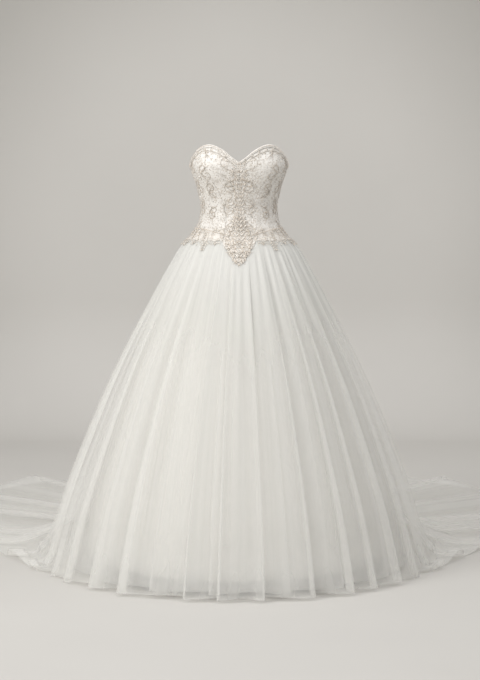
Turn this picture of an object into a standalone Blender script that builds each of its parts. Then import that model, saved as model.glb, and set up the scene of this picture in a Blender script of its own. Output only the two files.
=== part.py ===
"""A strapless wedding dress, worn with nobody in it: a boned bodice with a sweetheart neckline and a
pointed drop waist, a satin underskirt, an under tulle, and an outer tulle that runs out into a train.

Metres, +Z up, front towards -Y. The origin is the centre of the waist, where the wearer holds it.
Round the dress an angle of 0 is centre front, 90 the wearer's left (+X) and 180 centre back.
Heights are above the floor. An empty at floor level carries every piece.
"""

import math

import bmesh
import bpy
import numpy as np

# Driving sizes
WAIST_HEIGHT = 1.070
BUST_HEIGHT = 1.190
SEAM_HEIGHT = 0.991  # where the skirts are sewn to the bodice, at the sides and back
POINT_HEIGHT = 0.918  # the tip of the bodice's point at centre front
POINT_HALF_ANGLE = 18.0  # its corners meet the princess seams

BODICE_WALL = 0.0022  # satin, canvas and lace sewn as one
SATIN_WALL = 0.0015
TULLE_WALL = 0.0012
TRIM_WALL = 0.0016
SEAM_GAP = 0.0003
WAIST_SEAM_GAP = 0.0006
TRIM_CLEARANCE = 0.0014  # between the satin and the beaded lace over it
LAYER_GAP = 0.0018  # between the skirts where all three meet at the waist seam

BUST_SWELL = 0.017  # how far a cup stands out of the plain section
BUST_ANGLE = 37.0
BUST_WIDTH = 21.0  # degrees
BUST_DROP = 0.048

# The figure and the skirt's outline: half the width, and the reach to the front and to the back
SECTIONS = np.array(
    [  # height, half_width, front, back
        (0.000, 0.5960, 0.578, 0.800),
        (0.215, 0.5330, 0.507, 0.702),
        (0.422, 0.4530, 0.424, 0.583),
        (0.624, 0.3630, 0.336, 0.446),
        (0.805, 0.2685, 0.243, 0.307),
        (0.915, 0.2080, 0.180, 0.212),
        (0.975, 0.1695, 0.139, 0.152),
        (0.997, 0.1465, 0.120, 0.127),
        (1.030, 0.1255, 0.100, 0.101),
        (1.070, 0.1144, 0.092, 0.090),
        (1.135, 0.1235, 0.101, 0.093),
        (1.215, 0.1460, 0.114, 0.100),
        (1.275, 0.1360, 0.104, 0.096),
    ]
)

# The sweetheart neckline, the same on both sides
NECKLINE = np.array(
    [  # angle, height
        (0, 1.219),
        (7, 1.231),
        (17, 1.251),
        (28, 1.265),
        (38, 1.271),
        (48, 1.269),
        (58, 1.260),
        (69, 1.241),
        (85, 1.216),
        (120, 1.201),
        (180, 1.191),
    ]
)

# The princess seam swings out over the bust; the others run straight down
PRINCESS_SEAM = np.array(
    [  # height, angle
        (0.900, 18),
        (0.991, 18),
        (1.070, 20),
        (1.135, 29),
        (1.190, 37),
        (1.275, 41),
    ]
)
SIDE_SEAM_ANGLE = 76.0
BACK_SEAM_ANGLE = 116.0
BODICE_ROWS = (0.0, 0.06, 0.12, 0.18, 0.24, 0.30, 0.36, 0.42, 0.49, 0.58, 0.70, 0.85, 1.0)

# Where the train's hem lies on the floor: its reach to the side and to the back
TRAIN_PLAN = np.array(
    [  # angle, side, back
        (55, 0.487, -0.332),
        (75, 0.600, -0.135),
        (90, 0.715, 0.060),
        (105, 0.860, 0.290),
        (120, 0.985, 0.600),
        (135, 1.020, 0.960),
        (150, 0.850, 1.330),
        (165, 0.470, 1.590),
        (180, 0.000, 1.680),
    ]
)

# The folds that show, by the angle of each crest at the hem, and how deep the valley outside it is
SHOWN_FOLDS = np.array(
    [  # angle, depth
        (-102.0, 0.026),
        (-89.0, 0.024),
        (-77.0, 0.028),
        (-67.0, 0.024),
        (-58.0, 0.028),
        (-45.5, 0.030),
        (-34.5, 0.034),
        (-14.3, 0.026),
        (-5.2, 0.018),
        (7.7, 0.024),
        (22.0, 0.030),
        (34.3, 0.034),
        (43.0, 0.028),
        (54.0, 0.030),
        (65.0, 0.026),
        (77.0, 0.030),
        (88.0, 0.024),
        (101.0, 0.028),
    ]
)
BACK_FOLDS = 11
BACK_FOLD_DEPTH = 0.027
SKIRT_LEAN = -0.008  # how far the hem has swung towards the wearer's right
UNDER_TULLE_FOLDS = 17
UNDER_TULLE_DEPTH = 0.016
SATIN_FOLDS = 13
SATIN_DEPTH = 0.010
VALLEY_PHASE = 0.22  # a valley lies close outside its crest, so every fold falls away from centre front
FOLD_PHASES = (0.0, VALLEY_PHASE, 0.52, 0.80)
WIDEST_STEP = 7.5  # degrees between columns of the skirts
HANGING_STEPS = 48  # points worked out on the way down each column

HEM_LIFT = 0.009  # the front of the outer hem just brushes the floor
UNDER_TULLE_HEM = 0.014
SATIN_HEM = 0.042
SKIRT_ROWS = np.array(
    [  # share of the way down the skirt, share of the way out along the floor
        (0.000, 0.00),
        (0.028, 0.00),
        (0.075, 0.00),
        (0.150, 0.00),
        (0.270, 0.00),
        (0.420, 0.00),
        (0.600, 0.00),
        (0.780, 0.00),
        (0.900, 0.03),
        (0.940, 0.25),
        (0.970, 0.60),
        (1.000, 1.00),
    ]
)
UNDER_ROWS = np.array([*SKIRT_ROWS[:5], (0.50, 0.0), (0.75, 0.0), (1.0, 0.0)])
FOLDS_START = 0.028  # the gathers lie flat under the beaded band as far as this share of the skirt

BUTTON_RADIUS = 0.0050
BUTTON_HEIGHT = 0.0042
BUTTON_CLEARANCE = 0.0006
BUTTONS = 12
PLACKET_HALF_WIDTH = 0.011
TRIM_WIDTH = 0.009

# The beaded band at the hips: its upper edge, and the sprigs that hang from its lower edge over the tulle
BAND_TOP = 1.025
BAND_BOTTOM = 0.986
BAND_TO_POINT = 0.0012
SPRIGS = np.array(
    [  # angle, drop, half_width
        (25.0, 0.012, 4.0),
        (37.0, 0.027, 6.0),
        (54.0, 0.010, 4.0),
        (72.0, 0.015, 5.0),
        (95.0, 0.014, 5.0),
        (116.0, 0.010, 5.0),
        (138.0, 0.015, 5.0),
        (158.0, 0.010, 4.0),
    ]
)

# The beaded point at centre front, from its tip up
POINT_OUTLINE = np.array(
    [  # height, half_width
        (0.911, 0.0030),
        (0.925, 0.0150),
        (0.950, 0.0290),
        (0.980, 0.0390),
        (1.010, 0.0350),
        (1.037, 0.0200),
        (1.061, 0.0050),
    ]
)


def read_curve(table, column, at):
    """A smooth curve through one column of a table whose first column rises, read at one place or many."""
    knots = table[:, 0]
    values = table[:, column]
    slopes = np.gradient(values, knots)
    at = np.clip(np.asarray(at, float), knots[0], knots[-1])
    i = np.clip(np.searchsorted(knots, at) - 1, 0, len(knots) - 2)
    span = knots[i + 1] - knots[i]
    t = (at - knots[i]) / span
    return (
        (2 * t**3 - 3 * t**2 + 1) * values[i]
        + (t**3 - 2 * t**2 + t) * span * slopes[i]
        + (3 * t**2 - 2 * t**3) * values[i + 1]
        + (t**3 - t**2) * span * slopes[i + 1]
    )


def front_angle(angle):
    """The angle from centre front, from 0 to 180 on either side."""
    return np.abs((np.asarray(angle, float) + 180.0) % 360.0 - 180.0)


def body_point(angle, height):
    """The point of the bodice's and skirt's plain outer surface at an angle and a height."""
    turn = np.radians(angle)
    half_width = read_curve(SECTIONS, 1, height)
    forward = read_curve(SECTIONS, 2, height)
    backward = read_curve(SECTIONS, 3, height)
    reach = np.where(np.cos(turn) > 0, forward, backward)
    off_bust = (front_angle(angle) - BUST_ANGLE) / BUST_WIDTH
    off_height = (height - BUST_HEIGHT) / BUST_DROP
    swell = 1 + BUST_SWELL / forward * np.exp(-(off_bust**2) - off_height**2)
    return np.stack(
        [half_width * swell * np.sin(turn), -reach * swell * np.cos(turn), height + 0 * turn], -1
    )


def body_normal(angle, height):
    """The outward direction there, square to the surface."""
    step_angle, step_height = 0.5, 0.002
    across = body_point(angle + step_angle, height) - body_point(angle - step_angle, height)
    upward = body_point(angle, height + step_height) - body_point(angle, height - step_height)
    normal = np.cross(across, upward)
    return normal / np.linalg.norm(normal, axis=-1, keepdims=True)


def seam_height(angle):
    """The waist seam: level round the back and sides, down to the point at centre front."""
    share = np.clip(1 - front_angle(angle) / POINT_HALF_ANGLE, 0, 1)
    return SEAM_HEIGHT - (SEAM_HEIGHT - POINT_HEIGHT) * share


def material(name, colour, roughness):
    made = bpy.data.materials.new(name)
    made.use_nodes = True
    shader = made.node_tree.nodes["Principled BSDF"]
    shader.inputs["Base Color"].default_value = (*colour, 1.0)
    shader.inputs["Roughness"].default_value = roughness
    shader.inputs["Metallic"].default_value = 0.0
    return made


def add_object(name, bm, finish, floor_level, smooth_angle=50.0):
    """A named piece from a closed bmesh, carried by the empty at floor level."""
    bmesh.ops.recalc_face_normals(bm, faces=bm.faces)
    mesh = bpy.data.meshes.new(name)
    bm.to_mesh(mesh)
    bm.free()
    mesh.materials.append(finish)
    mesh.shade_smooth()
    mesh.set_sharp_from_angle(angle=math.radians(smooth_angle))
    piece = bpy.data.objects.new(name, mesh)
    piece.parent = floor_level
    bpy.context.scene.collection.objects.link(piece)
    return piece


def add_wall(name, outer, inner, finish, floor_level):
    """A closed cloth wall: a grid laid on the outer points, drawn through to the inner ones."""
    rows, columns = outer.shape[:2]
    bm = bmesh.new()
    place = bm.verts.layers.int.new("place")
    bmesh.ops.create_grid(bm, x_segments=columns - 1, y_segments=rows - 1, size=1)
    bm.verts.ensure_lookup_table()
    in_order = sorted(bm.verts, key=lambda v: (round(v.co.y, 6), round(v.co.x, 6)))
    for number, vertex in enumerate(in_order):
        vertex[place] = number
        vertex.co = outer.reshape(-1, 3)[number]
    drawn = bmesh.ops.extrude_face_region(bm, geom=bm.faces[:], use_keep_orig=True)
    for vertex in drawn["geom"]:
        if isinstance(vertex, bmesh.types.BMVert):
            vertex.co = inner.reshape(-1, 3)[vertex[place]]
    return add_object(name, bm, finish, floor_level)


def add_patch(name, angles, heights, inside, outside, finish, floor_level):
    """A wall on the body's surface, between two distances out from it."""
    points = body_point(angles, heights)
    normals = body_normal(angles, heights)
    return add_wall(
        name, points + normals * outside, points + normals * inside, finish, floor_level
    )


# Bodice


def panel_grid(start, end, columns):
    """Angles and heights of a bodice panel between two seams, each a function of height."""
    across = np.linspace(0, 1, columns)
    up = np.array(BODICE_ROWS)[:, None]
    angles = np.zeros((len(up), columns))
    heights = np.zeros((len(up), columns))
    for _ in range(4):  # a slanting seam's angle depends on the height, and the height on the angle
        low = seam_height(angles) + WAIST_SEAM_GAP / 2
        high = read_curve(NECKLINE, 1, front_angle(angles))
        heights = low + (high - low) * up
        first = start(heights[:, :1])
        last = end(heights[:, -1:])
        angles = first + (last - first) * across
    return angles, heights


def seam_allowance(height):
    """Half of a seam's gap, as an angle."""
    return np.degrees(SEAM_GAP / 2 / read_curve(SECTIONS, 1, height))


def princess(height):
    return read_curve(PRINCESS_SEAM, 1, height)


def level(angle):
    return lambda height: angle + 0 * height


def build_bodice(satin, floor_level):
    """Seven panels: centre front, and on each side a side front, a side and a back."""
    panels = [("bodice_front", lambda h: -princess(h), princess, 13)]
    for side, sign in (("left", 1), ("right", -1)):
        seams = (princess, level(SIDE_SEAM_ANGLE), level(BACK_SEAM_ANGLE), level(180.0))
        for number, (piece, columns) in enumerate((("side_front", 9), ("side", 6), ("back", 7))):
            panels.append(
                (
                    f"bodice_{piece}_{side}",
                    lambda h, s=seams[number], k=sign: k * s(h),
                    lambda h, s=seams[number + 1], k=sign: k * s(h),
                    columns,
                )
            )
    for name, start, end, columns in panels:
        turn = 1 if name == "bodice_front" or name.endswith("left") else -1
        angles, heights = panel_grid(
            lambda h, f=start, k=turn: f(h) + k * seam_allowance(h),
            lambda h, f=end, k=turn: f(h) - k * seam_allowance(h),
            columns,
        )
        add_patch(name, angles, heights, -BODICE_WALL, 0.0, satin, floor_level)


def placket_angle(height):
    """Where the placket's edge, with its gap, meets the back."""
    reach = (PLACKET_HALF_WIDTH + SEAM_GAP) / read_curve(SECTIONS, 1, height)
    return 180.0 - np.degrees(np.arcsin(reach))


def build_neckline_trim(trim, floor_level):
    """A narrow beaded edging along the top, from one side of the placket round to the other."""
    top = read_curve(NECKLINE, 1, 180.0)
    end = float(placket_angle(top))
    angles = np.tile(np.linspace(-end, end, 43), (2, 1))
    edge = read_curve(NECKLINE, 1, front_angle(angles))
    heights = edge - np.array([[TRIM_WIDTH], [0.0]])
    outside = TRIM_CLEARANCE + TRIM_WALL
    add_patch("neckline_trim", angles, heights, TRIM_CLEARANCE, outside, trim, floor_level)


def point_half_width(height):
    return read_curve(POINT_OUTLINE, 1, height)


def build_basque_point(trim, floor_level):
    """The thick beaded point over the bodice's own point at centre front."""
    heights = np.tile(np.linspace(POINT_OUTLINE[0, 0], POINT_OUTLINE[-1, 0], 16)[:, None], (1, 7))
    share = np.linspace(-1, 1, 7)[None, :]
    reach = point_half_width(heights) / read_curve(SECTIONS, 1, heights)
    angles = np.degrees(np.arcsin(reach * share))
    outside = TRIM_CLEARANCE + TRIM_WALL
    add_patch("basque_point", angles, heights, TRIM_CLEARANCE, outside, trim, floor_level)


def band_bottom(angle):
    """The band's lower edge, with its sprigs."""
    drop = sum(
        row[1] * np.exp(-(((angle - row[0]) / row[2]) ** 2)) for row in SPRIGS
    )
    return BAND_BOTTOM - drop


def build_hip_bands(trim, floor_level):
    """The beaded band over the waist seam, a half on each side from the point to the placket."""
    columns = 35
    along = np.linspace(0, 1, columns)[None, :]
    for side, sign in (("left", 1), ("right", -1)):
        heights = np.full((4, columns), SEAM_HEIGHT)
        for _ in range(4):
            start = point_half_width(heights[:, :1]) + BAND_TO_POINT
            first = np.degrees(np.arcsin(start / read_curve(SECTIONS, 1, heights[:, :1])))
            last = placket_angle(heights[:, -1:])
            angles = first + (last - first) * along
            low = band_bottom(angles)
            share = np.array([[0.0], [0.33], [0.67], [1.0]])
            heights = low + (BAND_TOP - low) * share
        outside = TRIM_CLEARANCE + TRIM_WALL
        add_patch(f"hip_band_{side}", sign * angles, heights, TRIM_CLEARANCE, outside, trim, floor_level)


def build_closure(satin, floor_level):
    """The placket down centre back and its covered buttons."""
    top = float(read_curve(NECKLINE, 1, 180.0))
    rows = 2 * BUTTONS
    heights = np.tile(np.linspace(SEAM_HEIGHT + WAIST_SEAM_GAP, top, rows)[:, None], (1, 3))
    share = np.linspace(-1, 1, 3)[None, :]
    angles = 180.0 + np.degrees(
        np.arcsin(PLACKET_HALF_WIDTH / read_curve(SECTIONS, 1, heights) * share)
    )
    face = TRIM_CLEARANCE + TRIM_WALL
    add_patch("placket", angles, heights, TRIM_CLEARANCE, face, satin, floor_level)
    first = top - 0.010
    last = SEAM_HEIGHT + 0.014
    for number in range(BUTTONS):
        height = first + (last - first) * number / (BUTTONS - 1)
        centre = np.array(180.0)
        outward = body_normal(centre, np.array(height))
        seat = body_point(centre, np.array(height)) + outward * (face + BUTTON_CLEARANCE)
        add_button(f"button_{number + 1:02d}", seat, outward, satin, floor_level)


def add_button(name, seat, outward, satin, floor_level):
    """A small dome covered in satin, its flat back on the placket."""
    bm = bmesh.new()
    profile = [(0.0, BUTTON_HEIGHT)]
    profile += [
        (BUTTON_RADIUS * math.sin(turn), BUTTON_HEIGHT * (0.25 + 0.75 * math.cos(turn)))
        for turn in (math.radians(35), math.radians(65), math.radians(90))
    ]
    profile += [(BUTTON_RADIUS * 0.8, 0.0), (0.0, 0.0)]
    points = [bm.verts.new((radius, 0.0, height)) for radius, height in profile]
    edges = [bm.edges.new(pair) for pair in zip(points, points[1:])]
    bmesh.ops.spin(
        bm, geom=points + edges, cent=(0, 0, 0), axis=(0, 0, 1), angle=math.tau, steps=8, use_merge=True
    )
    bmesh.ops.remove_doubles(bm, verts=bm.verts, dist=0.00001)
    button = add_object(name, bm, satin, floor_level, smooth_angle=40.0)
    button.location = seat
    tilt = math.atan2(outward[2], outward[1])
    button.rotation_euler = (tilt - math.pi / 2, 0.0, 0.0)


# Skirts


def fold_angles(crests):
    """The angles of a skirt's columns: each crest, its valley, two between, and the point's corners."""
    angles = []
    for (angle, _), (after, _) in zip(crests, crests[1:]):
        if angle < 0 < after:
            phases = (0.0, 0.25, 0.5, 0.75)
        elif angle >= 0:
            phases = FOLD_PHASES
        else:
            phases = (0.0, *(1 - phase for phase in reversed(FOLD_PHASES[1:])))
        phases = (*phases, 1.0)
        for low, high in zip(phases, phases[1:]):
            parts = math.ceil((high - low) * (after - angle) / WIDEST_STEP)
            for part in range(parts):
                phase = low + (high - low) * part / parts
                angles.append(angle + phase * (after - angle))
    corners = (-POINT_HALF_ANGLE, 0.0, POINT_HALF_ANGLE)
    kept = [angle for angle in angles if min(abs(angle - corner) for corner in corners) > 0.8]
    return np.array(sorted([*kept, *corners]))


def valley_depth(angles, crests):
    """How far in each column is at the hem: nothing on a crest, the fold's depth in its valley."""
    starts = np.array([crest[0] for crest in crests])
    depths = np.array([crest[1] for crest in crests])
    fold = np.clip(np.searchsorted(starts, angles, side="right") - 1, 0, len(crests) - 2)
    phase = (angles - starts[fold]) / (starts[fold + 1] - starts[fold])
    middle = (starts[fold] < 0) & (starts[fold + 1] > 0)
    leftward = starts[fold] < 0
    valley = np.where(middle, 0.5, np.where(leftward, 1 - VALLEY_PHASE, VALLEY_PHASE))
    depth = np.where(leftward & ~middle, depths[fold + 1], depths[fold])
    before = 0.5 - 0.5 * np.cos(np.pi * phase / valley)
    past = 0.5 + 0.5 * np.cos(np.pi * (phase - valley) / (1 - valley))
    return depth, np.where(phase < valley, before, past)


def outer_crests():
    """The folds of the outer tulle all the way round, the first one repeated at the end."""
    first, last = SHOWN_FOLDS[0, 0], SHOWN_FOLDS[-1, 0]
    spacing = (first + 360.0 - last) / (BACK_FOLDS + 1)
    behind = []
    for number in range(1, BACK_FOLDS + 1):
        uneven = 0.22 * spacing * math.sin(2.4 * number)
        depth = BACK_FOLD_DEPTH * (1 + 0.25 * math.sin(1.7 * number))
        behind.append((last + number * spacing + uneven, depth))
    wrapped = [(angle if angle <= 180 else angle - 360, depth) for angle, depth in behind]
    crests = sorted([tuple(row) for row in SHOWN_FOLDS] + wrapped)
    return close_ring(crests)


def even_crests(count, depth, start):
    """Folds a little uneven in spacing and depth."""
    spacing = 360.0 / count
    crests = [
        (
            -180.0 + start + spacing * (number + 0.18 * math.sin(3.1 * number)),
            depth * (1 + 0.2 * math.sin(2.3 * number + 1)),
        )
        for number in range(count)
    ]
    return close_ring(crests)


def close_ring(crests):
    return crests + [(crests[0][0] + 360.0, crests[0][1])]


def hanging_path(angle, end_height):
    """The points straight down the skirt at an angle, from the waist seam to a height."""
    top = float(seam_height(angle)) - WAIST_SEAM_GAP / 2
    heights = np.linspace(top, end_height, HANGING_STEPS)
    return body_point(np.full(HANGING_STEPS, float(angle)), heights)


def train_path(angle):
    """The points down the skirt and out along the floor to the hem, with a soft bend where it lands."""
    path = hanging_path(angle, HEM_LIFT)
    away = float(front_angle(angle))
    if away <= TRAIN_PLAN[0, 0]:
        return path
    side = math.copysign(1, math.sin(math.radians(angle)))
    hem = np.array(
        [side * read_curve(TRAIN_PLAN, 1, away), read_curve(TRAIN_PLAN, 2, away), HEM_LIFT / 4]
    )
    run = np.linalg.norm(hem[:2] - path[-1, :2])
    steps = max(2, round(run / 0.022))
    along = path[-1] + (hem - path[-1]) * np.linspace(0, 1, steps)[1:, None]
    path = np.concatenate([path, along])
    reach = min(7, steps)  # neighbours on each side that a point near the bend is averaged with
    padded = np.concatenate([path[:1].repeat(reach, 0), path, path[-1:].repeat(reach, 0)])
    soft = np.array([padded[i : i + 2 * reach + 1].mean(0) for i in range(len(path))])
    number = np.arange(len(path))
    near_bend = np.clip(2 - np.abs(number - HANGING_STEPS + 1) / reach, 0, 1)
    before_hem = np.clip((len(path) - 1 - number) / reach, 0, 1)
    return path + (soft - path) * (near_bend * before_hem)[:, None]


def path_rows(path, rows):
    """Points along a path, by their shares of the part that hangs and of the part on the floor."""
    length = np.concatenate([[0], np.cumsum(np.linalg.norm(np.diff(path, axis=0), axis=1))])
    hanging = length[HANGING_STEPS - 1]
    places = hanging * rows[:, 0] + (length[-1] - hanging) * rows[:, 1]
    return np.stack([np.interp(places, length, path[:, k]) for k in range(3)], -1)


def ring_normals(points):
    """Outward directions on a grid of rows by columns that closes on itself round the dress."""
    around = np.roll(points, -1, axis=1) - np.roll(points, 1, axis=1)
    down = np.gradient(points, axis=0)
    normal = np.cross(down, around)
    return normal / np.linalg.norm(normal, axis=-1, keepdims=True)


def fold_growth(rows):
    """How much of a fold's full depth there is at each row, from none under the band to all at the hem."""
    return np.clip((rows[:, 0] - FOLDS_START) / (1 - FOLDS_START), 0, 1) ** 0.9


def skirt_layer(crests, path_of, rows, inset_at_seam, inset_at_hem, wall):
    """Outer and inner points of one skirt, as grids that close round the dress, and its column angles."""
    angles = fold_angles(crests)
    base = np.stack([path_rows(path_of(angle), rows) for angle in angles], 1)
    normals = ring_normals(base)
    at_seam = body_normal(angles, seam_height(angles))
    normals[0] = at_seam
    growth = fold_growth(rows)[:, None]
    depth, shape = valley_depth(angles, crests)
    lying = np.clip((normals[..., 2] - 0.55) / 0.35, 0, 1)  # 0 where it hangs, 1 where it lies on the floor
    inset = inset_at_seam + (inset_at_hem - inset_at_seam) * growth
    moved = depth * growth * (lying - shape) - inset * (1 - lying)
    moved[0] = -inset_at_seam
    across = normals * (1, 1, 0)
    across /= np.maximum((across**2).sum(-1, keepdims=True), 0.25)
    hanging = ((1 - lying) * np.minimum(growth * 3, 1))[..., None]
    outer = base + (normals * (1 - hanging) + across * hanging) * moved[..., None]  # level where it hangs
    outer[..., 0] += SKIRT_LEAN * np.clip(1 - outer[..., 2] / POINT_HEIGHT, 0, 1)
    outer[..., 2] = np.maximum(outer[..., 2], wall * 1.5)
    walls = ring_normals(outer)
    walls[0] = at_seam
    inner = outer - walls * wall
    inner[..., 2] = np.maximum(inner[..., 2], 0.0)
    return outer, inner, angles


def cut_panels(layer, seams, prefix, finish, floor_level):
    """Parts a skirt at the columns nearest the seam angles, with a gap at each seam."""
    outer, inner, angles = layer
    count = len(angles)
    cuts = [int(np.argmin(np.abs((angles - at + 180) % 360 - 180))) for at, _ in seams]
    for number, (_, name) in enumerate(seams):
        start = cuts[number]
        end = cuts[(number + 1) % len(cuts)]
        end += count if end <= start else 0
        picked = np.arange(start, end + 1) % count
        out_panel = outer[:, picked].copy()
        in_panel = inner[:, picked].copy()
        for edge, neighbour in ((0, 1), (-1, -2)):
            inward = out_panel[:, neighbour] - out_panel[:, edge]
            inward /= np.linalg.norm(inward, axis=-1, keepdims=True)
            out_panel[:, edge] += inward * SEAM_GAP
            in_panel[:, edge] += inward * SEAM_GAP
        add_wall(f"{prefix}_{name}", out_panel, in_panel, finish, floor_level)


def build_outer_tulle(tulle, floor_level):
    """Seven gores; all but the front one run out into the train."""
    layer = skirt_layer(outer_crests(), train_path, SKIRT_ROWS, 0.0, 0.0, TULLE_WALL)
    seams = [
        (-178.0, "back_right"),
        (-142.0, "side_back_right"),
        (-100.0, "side_right"),
        (-45.5, "front"),
        (43.0, "side_left"),
        (100.0, "side_back_left"),
        (142.0, "back_left"),
    ]
    cut_panels(layer, seams, "outer_tulle", tulle, floor_level)


def build_under_tulle(tulle, floor_level):
    """Four widths inside the valleys of the outer tulle, cut just clear of the floor."""
    crests = even_crests(UNDER_TULLE_FOLDS, UNDER_TULLE_DEPTH, 4.0)
    at_seam = TULLE_WALL + LAYER_GAP
    at_hem = SHOWN_FOLDS[:, 1].max() * 1.15 + at_seam
    layer = skirt_layer(
        crests, lambda a: hanging_path(a, UNDER_TULLE_HEM), UNDER_ROWS, at_seam, at_hem, TULLE_WALL
    )
    seams = [(-130.0, "right"), (-50.0, "front"), (50.0, "left"), (130.0, "back")]
    cut_panels(layer, seams, "under_tulle", tulle, floor_level)


def build_satin_skirt(satin, floor_level):
    """Four panels of satin under both tulles, shorter, so that their hem shows through at the front."""
    crests = even_crests(SATIN_FOLDS, SATIN_DEPTH, 9.0)
    at_seam = 2 * (TULLE_WALL + LAYER_GAP)
    at_hem = SHOWN_FOLDS[:, 1].max() * 1.15 + UNDER_TULLE_DEPTH * 1.3 + at_seam
    layer = skirt_layer(
        crests, lambda a: hanging_path(a, SATIN_HEM), UNDER_ROWS, at_seam, at_hem, SATIN_WALL
    )
    seams = [(-135.0, "right"), (-45.0, "front"), (45.0, "left"), (135.0, "back")]
    cut_panels(layer, seams, "satin_skirt", satin, floor_level)


def build():
    for old in list(bpy.data.objects):
        bpy.data.objects.remove(old)
    satin = material("ivory_satin", (0.83, 0.80, 0.74), 0.42)
    beading = material("beaded_trim", (0.62, 0.56, 0.49), 0.35)
    tulle = material("soft_tulle", (0.87, 0.86, 0.83), 0.80)
    floor_level = bpy.data.objects.new("floor_level", None)
    floor_level.location = (0.0, 0.0, -WAIST_HEIGHT)
    bpy.context.scene.collection.objects.link(floor_level)
    build_bodice(satin, floor_level)
    build_neckline_trim(beading, floor_level)
    build_basque_point(beading, floor_level)
    build_hip_bands(beading, floor_level)
    build_closure(satin, floor_level)
    build_satin_skirt(satin, floor_level)
    build_under_tulle(tulle, floor_level)
    build_outer_tulle(tulle, floor_level)


build()
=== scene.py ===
"""How the wedding dress looks: ivory satin, off-white tulle and champagne and silver beadwork.

Metres, +Z up, front towards -Y, the origin at the centre of the waist. Angles run round the dress from 0
at centre front to 90 at the wearer's left (+X) and 180 at centre back. Heights are above the floor.
"""

import math

import bmesh
import bpy
import mathutils
import numpy as np
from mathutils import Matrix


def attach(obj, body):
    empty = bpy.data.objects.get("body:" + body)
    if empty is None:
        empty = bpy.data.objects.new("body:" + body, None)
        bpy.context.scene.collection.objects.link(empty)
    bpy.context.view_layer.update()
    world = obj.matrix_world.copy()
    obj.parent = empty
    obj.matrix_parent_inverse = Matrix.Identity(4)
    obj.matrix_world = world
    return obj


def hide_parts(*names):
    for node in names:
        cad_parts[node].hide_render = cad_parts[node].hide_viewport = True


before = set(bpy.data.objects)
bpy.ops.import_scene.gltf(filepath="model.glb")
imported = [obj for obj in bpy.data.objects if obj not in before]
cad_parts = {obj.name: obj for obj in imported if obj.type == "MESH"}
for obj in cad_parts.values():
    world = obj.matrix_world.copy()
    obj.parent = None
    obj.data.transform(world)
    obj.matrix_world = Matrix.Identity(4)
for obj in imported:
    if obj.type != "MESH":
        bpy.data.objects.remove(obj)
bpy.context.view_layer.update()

# Satin underskirt
# Four panels of ivory duchess satin, a heavy weave with a soft low gloss, sewn edge to edge and to the
# waist seam. They hang over a petticoat, and their hem shows through the tulle a hand above the floor.

WAIST_HEIGHT = 1.070
SEAM_HEIGHT = 0.991
POINT_HEIGHT = 0.918
POINT_HALF_ANGLE = 18.0
BUST_HEIGHT = 1.190
BUST_SWELL = 0.017
BUST_ANGLE = 37.0
BUST_WIDTH = 21.0
BUST_DROP = 0.048
SECTIONS = np.array([  # height, half_width, front, back
    (0.000, 0.5960, 0.578, 0.800),
    (0.215, 0.5330, 0.507, 0.702),
    (0.422, 0.4530, 0.424, 0.583),
    (0.624, 0.3630, 0.336, 0.446),
    (0.805, 0.2685, 0.243, 0.307),
    (0.915, 0.2080, 0.180, 0.212),
    (0.975, 0.1695, 0.139, 0.152),
    (0.997, 0.1465, 0.120, 0.127),
    (1.030, 0.1255, 0.100, 0.101),
    (1.070, 0.1144, 0.092, 0.090),
    (1.135, 0.1235, 0.101, 0.093),
    (1.215, 0.1460, 0.114, 0.100),
    (1.275, 0.1360, 0.104, 0.096),
])
SATIN_HEM = 0.042
SATIN_WALL = 0.0009
SATIN_INSET = (0.0060, 0.0770, 0.042)  # behind the outer tulle: at the seam and hem, and more at the sides
SATIN_FOLDS = 13
SATIN_DEPTH = 0.010
SATIN_START = -135.0
SATIN_NAMES = ("right", "front", "left", "back")  # panels of a quarter round each, on from the start
HANGING_STEPS = 60
FOLDS_START = 0.028
VALLEY_PHASE = 0.22
OUTER_TUCK = 0.014  # how far a fold's inner edge slips back under its crest at the hem
HEM_ROLL = 0.0035  # how far the hem rises as it rolls in under the next fold
SKIRT_LEAN = -0.008  # how far the hem is pulled to the wearer's right
OFF_FLOOR = 0.0022
THREAD_TO_THREAD = 0.00035
SEAM_GAP = 0.0003


def read_curve(table, column, at):
    """A smooth curve through one column of a table whose first column rises."""
    knots = table[:, 0]
    values = table[:, column]
    slopes = np.gradient(values, knots)
    at = np.clip(np.asarray(at, float), knots[0], knots[-1])
    i = np.clip(np.searchsorted(knots, at) - 1, 0, len(knots) - 2)
    span = knots[i + 1] - knots[i]
    t = (at - knots[i]) / span
    return (
        (2 * t**3 - 3 * t**2 + 1) * values[i]
        + (t**3 - 2 * t**2 + t) * span * slopes[i]
        + (3 * t**2 - 2 * t**3) * values[i + 1]
        + (t**3 - t**2) * span * slopes[i + 1]
    )


def half_across(height):
    """Half the width of the dress at a height, without its folds."""
    return read_curve(SECTIONS, 1, height)


def front_angle(angle):
    """How far round from centre front, whichever side it is on."""
    return np.abs((np.asarray(angle, float) + 180.0) % 360.0 - 180.0)


def body_point(angle, height):
    """The plain outer surface of the bodice and skirt, in the row's frame."""
    turn = np.radians(angle)
    wide = half_across(height)
    forward = read_curve(SECTIONS, 2, height)
    backward = read_curve(SECTIONS, 3, height)
    reach = np.where(np.cos(turn) > 0, forward, backward)
    off_bust = (front_angle(angle) - BUST_ANGLE) / BUST_WIDTH
    off_height = (height - BUST_HEIGHT) / BUST_DROP
    swell = 1 + BUST_SWELL / forward * np.exp(-(off_bust**2) - off_height**2)
    sideways, onward = wide * swell * np.sin(turn), -reach * swell * np.cos(turn)
    return np.stack([sideways, onward, height - WAIST_HEIGHT + 0 * turn], -1)


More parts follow.
